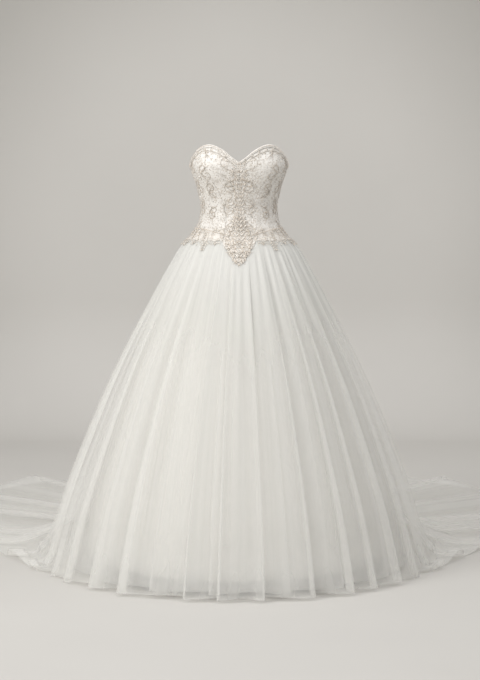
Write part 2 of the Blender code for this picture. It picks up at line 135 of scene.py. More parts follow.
def body_normal(angle, height):
    """Outwards from the plain surface."""
    step_angle, step_height = 0.5, 0.002
    across = body_point(angle + step_angle, height) - body_point(angle - step_angle, height)
    upward = body_point(angle, height + step_height) - body_point(angle, height - step_height)
    normal = np.cross(across, upward)
    return normal / np.linalg.norm(normal, axis=-1, keepdims=True)


def seam_height(angle):
    """The dropped waist seam, level round the hips and down to a point at centre front."""
    share = np.clip(1 - front_angle(angle) / POINT_HALF_ANGLE, 0, 1)
    return SEAM_HEIGHT - (SEAM_HEIGHT - POINT_HEIGHT) * share


def fold_shape(angles, crests, valley_phase):
    """At each angle: the depth of its fold, how far down its valley it lies, and the way it tucks under."""
    starts = np.array([crest[0] for crest in crests])
    depths = np.array([crest[1] for crest in crests])
    wrapped = starts[0] + (np.asarray(angles) - starts[0]) % 360.0
    fold = np.clip(np.searchsorted(starts, wrapped + 1e-9, side="right") - 1, 0, len(crests) - 2)
    phase = (wrapped - starts[fold]) / (starts[fold + 1] - starts[fold])
    middle = (starts[fold] < 0) & (starts[fold + 1] > 0)
    leftward = starts[fold] < 0
    valley = np.where(middle, 0.5, np.where(leftward, 1 - valley_phase, valley_phase))
    depth = np.where(leftward & ~middle, depths[fold + 1], depths[fold])
    before = 0.5 - 0.5 * np.cos(np.pi * phase / valley)
    past = 0.5 + 0.5 * np.cos(np.pi * (phase - valley) / (1 - valley))
    tuck = np.where(middle, 0.0, np.where(leftward, 1.0, -1.0))
    return depth, np.where(phase < valley, before, past), tuck


def fold_columns(crests, valley_phase, in_tuck, widest):
    """Angles for the columns of a ring of cloth, close together where a fold rolls under."""
    columns = []
    for (start, _), (end, _) in zip(crests, crests[1:]):
        if start < 0 < end:
            steps = math.ceil((end - start) / widest)
            columns += list(np.linspace(start, end, steps, endpoint=False))
            continue
        split = start + (end - start) * ((1 - valley_phase) if start < 0 else valley_phase)
        panel = math.ceil((end - start) * (1 - valley_phase) / widest)
        counts = (panel, in_tuck) if start < 0 else (in_tuck, panel)
        columns += list(np.linspace(start, split, counts[0], endpoint=False))
        columns += list(np.linspace(split, end, counts[1], endpoint=False))
    return np.array(columns + [crests[-1][0]])


def even_crests(count, depth, start):
    """Folds all round a hidden layer, a little uneven, the first one repeated at the end."""
    spacing = 360.0 / count
    crests = [
        (
            -180.0 + start + spacing * (number + 0.18 * math.sin(3.1 * number)),
            depth * (1 + 0.2 * math.sin(2.3 * number + 1)),
        )
        for number in range(count)
    ]
    return crests + [(crests[0][0] + 360.0, crests[0][1])]


def hanging_path(angle, end_height):
    """Down the skirt from just under the waist seam."""
    top = float(seam_height(angle)) - SEAM_GAP
    heights = np.linspace(top, end_height, HANGING_STEPS)
    return body_point(np.full(HANGING_STEPS, float(angle)), heights)


def path_rows(path, down, out):
    """Points along a path, by shares of the part that hangs and of the part on the floor."""
    length = np.concatenate([[0], np.cumsum(np.linalg.norm(np.diff(path, axis=0), axis=1))])
    hanging = length[HANGING_STEPS - 1]
    places = hanging * down + (length[-1] - hanging) * out
    return np.stack([np.interp(places, length, path[:, k]) for k in range(3)], -1)


def grid_normals(points):
    """Outward directions on rows by columns that close round the dress, the last column on the first."""
    ring = points[:, :-1]
    around = np.roll(ring, -1, axis=1) - np.roll(ring, 1, axis=1)
    down = np.gradient(ring, axis=0)
    normal = np.cross(down, around)
    normal /= np.linalg.norm(normal, axis=-1, keepdims=True)
    return np.concatenate([normal, normal[:, :1]], axis=1)


def soft_step(value):
    """From 0 to 1 with a gentle start and end."""
    value = np.clip(value, 0, 1)
    return value * value * (3 - 2 * value)


def skirt_points(angles, down, path_of, crests, inset, valley_phase, tucked, gathers, out=0.0):
    """The surface of one layer of the skirt, a row for each step down and a column for each angle."""
    base = np.stack([path_rows(path_of(angle), down, out) for angle in angles], 1)
    normals = grid_normals(base)
    at_seam = body_normal(angles, seam_height(angles))
    blend = np.clip(1 - down / FOLDS_START, 0, 1)[:, None, None]
    normals = normals * (1 - blend) + at_seam * blend
    normals /= np.linalg.norm(normals, axis=-1, keepdims=True)
    growth = (np.clip((down - FOLDS_START) / (1 - FOLDS_START), 0, 1) ** 0.9)[:, None]
    depth, shape, tuck = fold_shape(angles, crests, valley_phase)
    lying = np.clip((normals[..., 2] - 0.55) / 0.35, 0, 1)
    behind = inset[0] + (inset[1] - inset[0] + inset[2] * np.sin(np.radians(angles)) ** 2) * growth
    moved = depth * growth * (lying - shape) - behind * (1 - lying)
    moved += gathers(angles, down[:, None]) * (1 - 0.6 * lying)
    across = normals * (1, 1, 0)
    across /= np.maximum((across**2).sum(-1, keepdims=True), 0.25)
    hanging = ((1 - lying) * soft_step(growth * 2))[..., None]
    points = base + (normals * (1 - hanging) + across * hanging) * moved[..., None]
    level = np.stack([-normals[..., 1], normals[..., 0], 0 * normals[..., 0]], -1)
    level /= np.maximum(np.linalg.norm(level, axis=-1, keepdims=True), 0.3)
    points += level * (tucked * tuck * shape * growth * (1 - lying))[..., None]
    points[..., 2] += HEM_ROLL * tucked / OUTER_TUCK * shape * growth**12 * (1 - lying)
    points[..., 0] += SKIRT_LEAN * np.clip(1 - (points[..., 2] + WAIST_HEIGHT) / POINT_HEIGHT, 0, 1)
    points[..., 2] = np.maximum(points[..., 2], OFF_FLOOR - WAIST_HEIGHT)
    return points


def new_object(name, data):
    """A mesh, light or camera in the scene, at the origin."""
    made = bpy.data.objects.new(name, data)
    bpy.context.scene.collection.objects.link(made)
    return made


def smooth_piece(name, bm):
    """A piece that looks smooth, with the shape that the bmesh holds."""
    mesh = bpy.data.meshes.new(name)
    bm.to_mesh(mesh)
    bm.free()
    mesh.shade_smooth()
    return new_object(name, mesh)


def cloth(name, points, wall, closed=False, across=1.0, downward=1.0):
    """A thin shell of cloth on a grid of outer points whose rows run from the top down.

    Its UV map runs round the garment and down it in metres, as far as across and downward say.
    """
    rows, columns = points.shape[:2]
    bm = bmesh.new()
    bmesh.ops.create_grid(bm, x_segments=columns - 1, y_segments=rows - 1, size=1)
    uv = bm.loops.layers.uv.new("UVMap")
    flat = np.array([vertex.co[:2] for vertex in bm.verts])
    column = np.rint((flat[:, 0] + 1) / 2 * (columns - 1)).astype(int)
    row = rows - 1 - np.rint((flat[:, 1] + 1) / 2 * (rows - 1)).astype(int)
    for face in bm.faces:
        for corner in face.loops:
            number = corner.vert.index
            corner[uv].uv = (
                column[number] / (columns - 1) * across, (1 - row[number] / (rows - 1)) * downward
            )
    for vertex, place in zip(bm.verts, points[row, column]):
        vertex.co = place
    if closed:
        bmesh.ops.remove_doubles(bm, verts=bm.verts, dist=0.00001)
    piece = smooth_piece(name, bm)
    solidify = piece.modifiers.new("cloth thickness", "SOLIDIFY")
    solidify.thickness = wall
    solidify.offset = -1.0
    return piece


def hex_colour(code):
    """A colour from its sRGB hex code, turned to linear."""
    channels = [int(code[i : i + 2], 16) / 255 for i in (0, 2, 4)]
    linear = [c / 12.92 if c <= 0.04045 else ((c + 0.055) / 1.055) ** 2.4 for c in channels]
    return (*linear, 1.0)


def add_node(material, kind, inputs=None, **settings):
    """A node in a material, with its properties set and each input given a value or linked.

    An input takes a value, a colour's hex code, a socket, or a node, which stands for its first output.
    """
    node = material.node_tree.nodes.new("ShaderNode" + kind)
    for name, value in settings.items():
        setattr(node, name, value)
    for name, source in (inputs or {}).items():
        if isinstance(source, bpy.types.Node):
            source = next(socket for socket in source.outputs if socket.enabled)
        if isinstance(source, bpy.types.NodeSocket):
            material.node_tree.links.new(source, node.inputs[name])
        else:
            node.inputs[name].default_value = hex_colour(source) if isinstance(source, str) else source
    return node


def new_material(name):
    """A material with no nodes yet."""
    made = bpy.data.materials.new(name)
    made.use_nodes = True
    made.node_tree.nodes.clear()
    return made


def finish_material(material, shader):
    """The shader goes to the output, and the material is ready."""
    add_node(material, "OutputMaterial", {"Surface": shader})
    return material


def ivory_satin():
    """Ivory duchess satin: close weft threads that float over the warp give it a soft, low gloss."""
    made = new_material("ivory duchess satin")
    place = add_node(made, "TexCoord")
    rib_scale = 0.314 / (THREAD_TO_THREAD * 4)  # four threads to a rib, or it is too fine to show
    ribs = add_node(
        made,
        "TexWave",
        {"Vector": place.outputs["UV"], "Scale": rib_scale, "Distortion": 1.5, "Detail": 2.0},
        wave_type="BANDS",
        bands_direction="Y",
    )
    slub = add_node(made, "TexNoise", {"Vector": place.outputs["Object"], "Scale": 22.0, "Detail": 3.0})
    tone = add_node(made, "Mix", {"Factor": slub, "A": "E1DFD9", "B": "EAE8E3"}, data_type="RGBA")
    shade = add_node(made, "MapRange", {"Value": slub, "To Min": 0.40, "To Max": 0.52})
    bump = add_node(made, "Bump", {"Height": ribs.outputs["Fac"], "Strength": 0.12, "Distance": 0.0002})
    sheen = {"Specular IOR Level": 0.35, "Sheen Weight": 0.25, "Sheen Roughness": 0.4}
    look = {"Base Color": tone, "Roughness": shade, "Normal": bump, **sheen}
    return finish_material(made, add_node(made, "BsdfPrincipled", look))


def settle(piece, material, slot, *nodes):
    """A piece gets its material, hangs from the root body and hides the solids it stands for; slot is not
    used.
    """
    piece.data.materials.append(material)
    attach(piece, "root")
    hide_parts(*nodes)


satin = ivory_satin()


def satin_gathers(angles, down):
    """Broad soft waves that grow towards the hem."""
    turn = np.radians(angles)
    ease = soft_step((down - 0.02) / 0.08)
    broad = np.sin(turn * 29 + 1.2 * np.sin(turn * 3)) + 0.6 * np.sin(turn * 17 + 1)
    return ease * (0.0005 + 0.0034 * down) * broad


SATIN_ROWS = np.linspace(0, 1, 44) ** 1.15
PANEL_STEPS = 120
ring = skirt_points(
    np.linspace(SATIN_START, SATIN_START + 360.0, 4 * PANEL_STEPS + 1),
    SATIN_ROWS,
    lambda angle: hanging_path(angle, SATIN_HEM),
    even_crests(SATIN_FOLDS, SATIN_DEPTH, 9.0),
    SATIN_INSET,
    VALLEY_PHASE,
    0.0,
    satin_gathers,
)
for number, name in enumerate(SATIN_NAMES):
    columns = ring[:, number * PANEL_STEPS : (number + 1) * PANEL_STEPS + 1]
    panel = cloth(f"satin_skirt_{name}_cloth", columns, SATIN_WALL, across=0.83, downward=1.03)
    settle(panel, satin, "ivory_satin", f"satin_skirt_{name}")

# Under tulle
# Four widths of soft nylon tulle, a fine hexagon net with no shine, gathered into the waist seam under
# the outer skirt. Net this fine reads as a haze, thicker where the gathers bunch it.

UNDER_HEM = 0.014
UNDER_INSET = (0.0036, 0.0421, 0.024)
UNDER_FOLDS = 17
UNDER_DEPTH = 0.016
UNDER_VALLEY = 0.12
UNDER_TUCK = 0.020
UNDER_WALL = 0.0006


def finish_net(material, share, thread):
    """A net goes to the output: its thread where the share is 1, and open where it is 0."""
    clear = add_node(material, "BsdfTransparent")
    return finish_material(material, add_node(material, "MixShader", {"Fac": share, 1: clear, 2: thread}))


def soft_tulle(name, colour, thin, thick, seam, hem, lit_through):
    """Soft nylon tulle: matt, and as open as its net, with streaks down the cloth where gathers bunch it.

    Seam and hem are each two heights of the UV map and how much denser the net gets between them, as it
    is gathered closest at the waist and folds over itself at the hem.
    """
    made = new_material(name)
    place = add_node(made, "TexCoord")
    streaks = []
    for stretch in ((13.0, 0.25, 1.0), (60.0, 0.4, 1.0)):  # wide streaks at the folds, and fine ones
        way = add_node(made, "Mapping", {"Vector": place.outputs["UV"], "Scale": stretch})
        streaks.append(add_node(made, "TexNoise", {"Vector": way, "Scale": 1.0, "Detail": 2.0}))
    both = add_node(made, "Mix", {"A": streaks[0], "B": streaks[1], "Factor": 0.14})
    ends = {"From Min": 0.32, "From Max": 0.68, "To Min": thin, "To Max": thick}
    share = add_node(made, "MapRange", {"Value": both, **ends})
    down = add_node(made, "SeparateXYZ", {"Vector": place.outputs["UV"]})
    for start, end, denser in (seam, hem):
        ends = {"From Min": min(start, end), "From Max": max(start, end)}
        ends |= {"To Min": 0.0 if start < end else denser, "To Max": denser if start < end else 0.0}
        bunched = add_node(
            made, "MapRange", {"Value": down.outputs["Y"], **ends}, interpolation_type="SMOOTHSTEP"
        )
        share = add_node(made, "Math", {0: share, 1: bunched}, operation="ADD")
    matt = {"Roughness": 0.9, "Specular IOR Level": 0.15, "Sheen Weight": 0.3}
    near = add_node(made, "BsdfPrincipled", {"Base Color": colour, **matt})
    far = add_node(made, "BsdfTranslucent", {"Color": colour})
    return finish_net(made, share, add_node(made, "MixShader", {"Fac": lit_through, 1: near, 2: far}))


def under_gathers(angles, down):
    """Uneven gathers that widen on the way down."""
    turn = np.radians(angles)
    ease = soft_step((down - 0.02) / 0.10)
    waves = np.sin(turn * 41 + 0.4) + 0.7 * np.sin(turn * 59 + 2) + 0.5 * np.sin(turn * 23)
    return ease * (0.0005 + 0.0010 * down) * waves


UNDER_ROWS = np.linspace(0, 1, 46) ** 1.1
under_crests = even_crests(UNDER_FOLDS, UNDER_DEPTH, 4.0)
under = cloth(
    "under_tulle_cloth",
    skirt_points(
        fold_columns(under_crests, UNDER_VALLEY, 6, 0.8),
        UNDER_ROWS,
        lambda angle: hanging_path(angle, UNDER_HEM),
        under_crests,
        UNDER_INSET,
        UNDER_VALLEY,
        UNDER_TUCK,
        under_gathers,
    ),
    UNDER_WALL,
    closed=True,
    across=3.9,
    downward=1.07,
)
under_net = soft_tulle(
    "soft under tulle",
    "F0EFEC",
    thin=0.19,
    thick=0.43,
    seam=(0.70, 1.05, 0.35),
    hem=(0.16, 0.06, 0.10),
    lit_through=0.28,
)
under_nodes = [f"under_tulle_{side}" for side in ("front", "left", "right", "back")]
settle(under, under_net, "soft_tulle", *under_nodes)

# Outer tulle
# Seven gores of the same tulle, gathered on to the bodice in deep soft folds that roll over at the hem.
# The front just brushes the floor, and the side and back gores run out along it into the train.

HEM_LIFT = 0.009
OUTER_WALL = 0.0005
TRAIN_PLAN = np.array([  # angle, side, back
    (55, 0.487, -0.332),
    (75, 0.600, -0.135),
    (90, 0.715, 0.060),
    (105, 0.860, 0.290),
    (120, 0.985, 0.600),
    (135, 1.020, 0.960),
    (150, 0.850, 1.330),
    (165, 0.470, 1.590),
    (180, 0.000, 1.680),
])
SHOWN_FOLDS = np.array([  # angle, depth
    (-102.0, 0.026),
    (-89.0, 0.024),
    (-77.0, 0.028),
    (-67.0, 0.024),
    (-58.0, 0.028),
    (-45.5, 0.030),
    (-34.5, 0.034),
    (-14.3, 0.026),
    (-5.2, 0.018),
    (7.7, 0.024),
    (22.0, 0.030),
    (34.3, 0.034),
    (43.0, 0.028),
    (54.0, 0.030),
    (65.0, 0.026),
    (77.0, 0.030),
    (88.0, 0.024),
    (101.0, 0.028),
])
BACK_FOLDS = 11
BACK_FOLD_DEPTH = 0.027
OUTER_VALLEY = 0.09  # tighter than the solid's, as the soft net rolls over at a crest


def train_path(angle):
    """Down the skirt and out along the floor to the hem, with a soft bend where it lands."""
    path = hanging_path(angle, HEM_LIFT)
    away = float(front_angle(angle))
    if away <= TRAIN_PLAN[0, 0]:
        return path
    side = math.copysign(1, math.sin(math.radians(angle)))
    hem = np.array(
        [
            side * read_curve(TRAIN_PLAN, 1, away),
            read_curve(TRAIN_PLAN, 2, away),
            HEM_LIFT / 4 - WAIST_HEIGHT,
        ]
    )
    run = np.linalg.norm(hem[:2] - path[-1, :2])
    steps = max(2, round(run / 0.018))
    along = path[-1] + (hem - path[-1]) * np.linspace(0, 1, steps)[1:, None]
    path = np.concatenate([path, along])
    reach = min(9, steps)
    padded = np.concatenate([path[:1].repeat(reach, 0), path, path[-1:].repeat(reach, 0)])
    soft = np.array([padded[i : i + 2 * reach + 1].mean(0) for i in range(len(path))])
    number = np.arange(len(path))
    near_bend = np.clip(2 - np.abs(number - HANGING_STEPS + 1) / reach, 0, 1)
    before_hem = np.clip((len(path) - 1 - number) / reach, 0, 1)
    return path + (soft - path) * (near_bend * before_hem)[:, None]


def outer_crests():
    """The folds that show, and the ones behind, the first one repeated at the end."""
    first, last = SHOWN_FOLDS[0, 0], SHOWN_FOLDS[-1, 0]
    spacing = (first + 360.0 - last) / (BACK_FOLDS + 1)
    behind = []
    for number in range(1, BACK_FOLDS + 1):
        uneven = 0.22 * spacing * math.sin(2.4 * number)
        depth = BACK_FOLD_DEPTH * (1 + 0.25 * math.sin(1.7 * number))
        behind.append((last + number * spacing + uneven, depth))
    wrapped = [(angle if angle <= 180 else angle - 360, depth) for angle, depth in behind]
    crests = sorted([tuple(row) for row in SHOWN_FOLDS] + wrapped)
    return crests + [(crests[0][0] + 360.0, crests[0][1])]


def outer_gathers(angles, down):
    """Fine gathers between the large folds, close at the waist and wider and softer towards the hem."""
    turn = np.radians(angles)
    near_seam = soft_step((down - 0.015) / 0.05) * (1 - soft_step((down - 0.10) / 0.45))
    fine = np.sin(turn * 57 + 1.5 * np.sin(turn * 7)) + 0.6 * np.sin(turn * 79 + 1)
    wide = np.sin(turn * 37 + 2.2 * np.sin(turn * 5 + 1)) + 0.7 * np.sin(turn * 21 + 2)
    uneven = 0.62 + 0.38 * np.sin(turn + 0.2)  # flattest at the wearer's right
    return 0.0013 * near_seam * uneven * fine + 0.0022 * soft_step(down / 0.6) * wide


DOWN_ROWS = 50
OUT_ROWS = 14
outer_down = np.concatenate([np.linspace(0, 0.965, DOWN_ROWS) ** 1.08, np.linspace(0.968, 1.0, OUT_ROWS)])
outer_out = np.concatenate([np.zeros(DOWN_ROWS), np.linspace(0.03, 1.0, OUT_ROWS)])
crests = outer_crests()
outer = cloth(
    "outer_tulle_cloth",
    skirt_points(
        fold_columns(crests, OUTER_VALLEY, 7, 0.75),
        outer_down,
        train_path,
        crests,
        (0.0, 0.0, 0.0),
        OUTER_VALLEY,
        OUTER_TUCK,
        outer_gathers,
        outer_out,
    ),
    OUTER_WALL,
    closed=True,
    across=5.4,
    downward=1.4,
)
outer_net = soft_tulle(
    "soft outer tulle",
    "F1F0EC",
    thin=0.08,
    thick=0.28,
    seam=(0.90, 1.36, 0.50),
    hem=(0.42, 0.30, 0.08),
    lit_through=0.24,
)
outer_nodes = ["outer_tulle_front"]
for gore in ("side", "side_back", "back"):
    outer_nodes += [f"outer_tulle_{gore}_left", f"outer_tulle_{gore}_right"]
settle(outer, outer_net, "soft_tulle", *outer_nodes)

# Bodice
# Seven panels of ivory duchess satin over canvas and bones: a centre front, and on each side a side
# front that holds the cup's fullness in its seam, a side and a back. The seams are pressed open.

BODICE_WALL = 0.0014
SEAM_DIP = 0.0005
LACE_OVERLAP = 0.0020  # how far the lace laps over the tulle at the waist seam, and its scallops beyond
LACE_SCALLOP = 0.0055
LAP_RISE = 0.0006
NECKLINE = np.array([  # angle, height
    (0, 1.219),
    (7, 1.231),
    (17, 1.251),
    (28, 1.265),
    (38, 1.271),
    (48, 1.269),
    (58, 1.260),
    (69, 1.241),
    (85, 1.216),
    (120, 1.201),
    (180, 1.191),
])
PRINCESS_SEAM = np.array([  # height, angle
    (0.900, 18),
    (0.991, 18),
    (1.070, 20),
    (1.135, 29),
    (1.190, 37),
    (1.275, 41),
])
SIDE_SEAM_ANGLE = 76.0
BACK_SEAM_ANGLE = 116.0


def neckline(angle):
    """Its height, alike on both sides."""
    return read_curve(NECKLINE, 1, front_angle(angle))


def seam_angle(number, height):
    """The seams from the princess seam to centre back."""
    if number == 0:
        return read_curve(PRINCESS_SEAM, 1, height)
    return (SIDE_SEAM_ANGLE, BACK_SEAM_ANGLE, 180.0)[number - 1] + 0 * height


def bodice_panel(name, start, end, columns, rows=61):
    """A panel between two seams, each a function of height, dipping a little into its seams."""
    across = np.linspace(0, 1, columns)
    up = np.linspace(1, 0, rows)[:, None]
    angles = np.zeros((rows, columns))
    for _ in range(4):
        low = seam_height(angles) - LACE_OVERLAP - LACE_SCALLOP * np.abs(np.sin(np.radians(angles) * 16))
        high = neckline(angles)
        heights = low + (high - low) * up
        angles = start(heights[:, :1]) + (end(heights[:, -1:]) - start(heights[:, :1])) * across
    from_edge = np.minimum(across, 1 - across) * (columns - 1)
    dip = SEAM_DIP * np.exp(-(from_edge**2))
    over_tulle = LAP_RISE * np.clip((seam_height(angles) + 0.004 - heights) / 0.004, 0, 1)
    points = body_point(angles, heights) + body_normal(angles, heights) * (over_tulle - dip)[..., None]
    return cloth(name, points, BODICE_WALL, across=0.1, downward=0.25)


BODICE_PANELS = {  # seam before, seam after, columns, flat width, flat length, share of that rectangle
    "side_front": (0, 1, 33, 0.125, 0.285, 0.81),
    "side": (1, 2, 29, 0.105, 0.245, 0.69),
    "back": (2, 3, 41, 0.150, 0.215, 0.94),
}


def seam_line(number, side, inward):
    """One edge of a panel: a seam on one side of the dress, less half of the seam's gap."""

    def line(height):
        """Its angle at each height."""
        gap = np.degrees(SEAM_GAP / 2 / half_across(height))
        return side * (seam_angle(number, height) + inward * gap)

    return line


def beaded_lace():
    """Ivory satin under fine corded lace: the cords catch the light, and the net between them greys it."""
    made = new_material("corded lace over ivory satin")
    place = add_node(made, "TexCoord")
    here = place.outputs["Object"]
    swirl = add_node(made, "TexNoise", {"Vector": here, "Scale": 38.0, "Detail": 2.0})
    sway = {0: swirl.outputs["Color"], 1: (0.014, 0.014, 0.014), 2: here}
    bent = add_node(made, "VectorMath", sway, operation="MULTIPLY_ADD")
    motif = {"Vector": bent, "Scale": 1 / LACE_MOTIF}
    cells = add_node(made, "TexVoronoi", motif, feature="DISTANCE_TO_EDGE")
    ends = {"From Min": 0.02, "From Max": 0.16, "To Min": 1.0, "To Max": 0.0}
    cord = add_node(made, "MapRange", {"Value": cells, **ends})
    patches = add_node(made, "TexNoise", {"Vector": bent, "Scale": 48.0, "Detail": 4.0})
    filled = add_node(made, "MapRange", {"Value": patches, "From Min": 0.38, "From Max": 0.60})
    net = add_node(made, "Mix", {"Factor": filled, "A": "D7D1C9", "B": "EDE9E3"}, data_type="RGBA")
    tone = add_node(made, "Mix", {"Factor": cord, "A": net, "B": "F0ECE6"}, data_type="RGBA")
    bump = add_node(made, "Bump", {"Height": cord, "Strength": 0.5, "Distance": 0.0006})
    look = {"Base Color": tone, "Normal": bump, "Roughness": 0.52, "Sheen Weight": 0.2}
    return finish_material(made, add_node(made, "BsdfPrincipled", look))


LACE_MOTIF = 0.011  # from one corded ring of the lace to the next
lace = beaded_lace()


def dress_bodice(panel, node):
    """Lace outside and satin inside, and the panel's place in the frame."""
    settle(panel, lace, "ivory_satin", node)
    panel.data.materials.append(satin)
    panel.modifiers["cloth thickness"].material_offset = 1


front = bodice_panel("bodice_front_cloth", seam_line(0, -1, -1), seam_line(0, 1, -1), 61)
dress_bodice(front, "bodice_front")
for side_name, side in (("left", 1), ("right", -1)):
    for piece, (before, after, columns, width, length, share) in BODICE_PANELS.items():
        edges = [seam_line(before, side, 1), seam_line(after, side, -1)]
        if side < 0:
            edges.reverse()
        panel = bodice_panel(f"bodice_{piece}_{side_name}_cloth", *edges, columns)
        dress_bodice(panel, f"bodice_{piece}_{side_name}")

# Net at the hips, the front point and the neckline
# Fine champagne net carries the thickest beading: a band over the waist seam on each side with sprigs
# hanging over the tulle, a point at centre front, and a narrow braid sewn along the top edge.

TRIM_CLEARANCE = 0.0014
TRIM_WALL = 0.0016
TRIM_FACE = TRIM_CLEARANCE + TRIM_WALL
NET_WALL = 0.0006
NET_FACE = TRIM_CLEARANCE + NET_WALL
BAND_TOP = 1.025
BAND_BOTTOM = 0.986
BAND_TO_POINT = 0.0012
TRIM_WIDTH = 0.009
PLACKET_HALF_WIDTH = 0.011
SPRIGS = np.array([  # angle, drop, half_width
    (25.0, 0.012, 4.0),
    (37.0, 0.027, 6.0),
    (54.0, 0.010, 4.0),
    (72.0, 0.015, 5.0),
    (95.0, 0.014, 5.0),
    (116.0, 0.010, 5.0),
    (138.0, 0.015, 5.0),
    (158.0, 0.010, 4.0),
])
POINT_OUTLINE = np.array([  # height, half_width
    (0.911, 0.0030),
    (0.925, 0.0150),
    (0.950, 0.0290),
    (0.980, 0.0390),
    (1.010, 0.0350),
    (1.037, 0.0200),
    (1.061, 0.0050),
])


def beading_net():
    """Champagne illusion net: nearly clear, so the beads on it seem to lie on the dress itself."""
    made = new_material("champagne illusion net")
    place = add_node(made, "TexCoord")
    holes = {"Vector": place.outputs["Object"], "Scale": 420.0}  # holes of 2.4 mm, so that they show
    cells = add_node(made, "TexVoronoi", holes)
    cover = add_node(made, "MapRange", {"Value": cells, "To Min": 0.02, "To Max": 0.14})
    thread = add_node(made, "BsdfPrincipled", {"Base Color": "E6E0D7", "Roughness": 0.8})
    return finish_net(made, cover, thread)


def on_dress(angles, heights, out):
    """Points a little out from the bodice's plain surface."""
    return body_point(angles, heights) + body_normal(angles, heights) * np.asarray(out)[..., None]


def placket_angle(height):
    """Where the left side's pieces stop short of the placket."""
    reach = (PLACKET_HALF_WIDTH + SEAM_GAP) / half_across(height)
    return 180.0 - np.degrees(np.arcsin(reach))


def point_reach(height):
    """Half the width of the lace point at centre front."""
    return read_curve(POINT_OUTLINE, 1, height)


def band_bottom(angle):
    """The band's lower edge, with its sprigs."""
    angle = np.asarray(angle, float)[..., None]
    return BAND_BOTTOM - (SPRIGS[:, 1] * np.exp(-(((angle - SPRIGS[:, 0]) / SPRIGS[:, 2]) ** 2))).sum(-1)


champagne_net = beading_net()
heights = np.tile(np.linspace(POINT_OUTLINE[-1, 0], POINT_OUTLINE[0, 0], 40)[:, None], (1, 19))
reach = point_reach(heights) / half_across(heights)
angles = np.degrees(np.arcsin(reach * np.linspace(-1, 1, 19)))
point_net = cloth("basque_point_net", on_dress(angles, heights, NET_FACE), NET_WALL)
settle(point_net, champagne_net, "beaded_trim", "basque_point")

for side_name, side in (("left", 1), ("right", -1)):
    heights = np.full((14, 161), SEAM_HEIGHT)
    for _ in range(4):
        start = point_reach(heights[:, :1]) + BAND_TO_POINT
        first = np.degrees(np.arcsin(start / half_across(heights[:, :1])))
        last = placket_angle(heights[:, -1:])
        angles = first + (last - first) * np.linspace(0, 1, 161)
        low = band_bottom(angles)
        heights = low + (BAND_TOP - low) * np.linspace(1, 0, 14)[:, None]
    if side < 0:
        angles, heights = -angles[:, ::-1], heights[:, ::-1]
    band = cloth(f"hip_band_{side_name}_net", on_dress(angles, heights, NET_FACE), NET_WALL)
    settle(band, champagne_net, "beaded_trim", f"hip_band_{side_name}")

neck_end = placket_angle(neckline(180.0))
angles = np.tile(np.linspace(-neck_end, neck_end, 241), (5, 1))
heights = neckline(angles) - TRIM_WIDTH * np.linspace(0, 1, 5)[:, None]
rounded = np.array([0.0004, 0.0009, 0.0010, 0.0009, 0.0004])[:, None] + 0 * angles
braid = cloth("neckline_braid", on_dress(angles, heights, TRIM_CLEARANCE - 0.0004 + rounded), NET_WALL)
settle(braid, lace, "beaded_trim", "neckline_trim")

# Placket and buttons
# A satin strip faced with canvas closes centre back, and twelve small domes covered in the same satin
# sit along it, each held by a loop of rolled satin cord from the strip's edge.

BUTTONS = 12
BUTTON_RADIUS = 0.0050
BUTTON_HEIGHT = 0.0042
BUTTON_EDGE = 0.0009
BUTTON_CLEARANCE = 0.0006
LOOP_CORD = 0.0006
back_top = neckline(180.0)
heights = np.tile(np.linspace(back_top, SEAM_HEIGHT + 0.0006, 60)[:, None], (1, 9))
reach = PLACKET_HALF_WIDTH / half_across(heights) * np.linspace(-1, 1, 9)
angles = 180.0 + np.degrees(np.arcsin(reach))
edge_roll = TRIM_FACE - 0.0007 * np.abs(np.linspace(-1, 1, 9)) ** 6 + 0 * heights
placket = cloth("placket_cloth", on_dress(angles, heights, edge_roll), 0.0012, across=0.022, downward=0.2)
settle(placket, satin, "ivory_satin", "placket")


def covered_button(bm):
    """A low dome with its edge rolled under, spun from its outline."""
    outline = [(BUTTON_RADIUS * 0.62, 0.0), (BUTTON_RADIUS * 0.96, 0.0002)]
    for turn in np.radians([0, 15, 30, 45, 60, 75, 90]):
        rise = BUTTON_EDGE + (BUTTON_HEIGHT - BUTTON_EDGE) * math.sin(turn)
        outline.append((BUTTON_RADIUS * math.cos(turn), rise))
    line = [bm.verts.new((radius, 0.0, rise)) for radius, rise in outline]
    spun = line + [bm.edges.new(pair) for pair in zip(line, line[1:])]
    bmesh.ops.spin(bm, geom=spun, axis=(0, 0, 1), cent=(0, 0, 0), angle=math.tau, steps=24, use_merge=True)
    bmesh.ops.remove_doubles(bm, verts=bm.verts, dist=0.00002)
    bmesh.ops.holes_fill(bm, edges=[e for e in bm.edges if e.is_boundary], sides=0)
    bmesh.ops.recalc_face_normals(bm, faces=bm.faces)


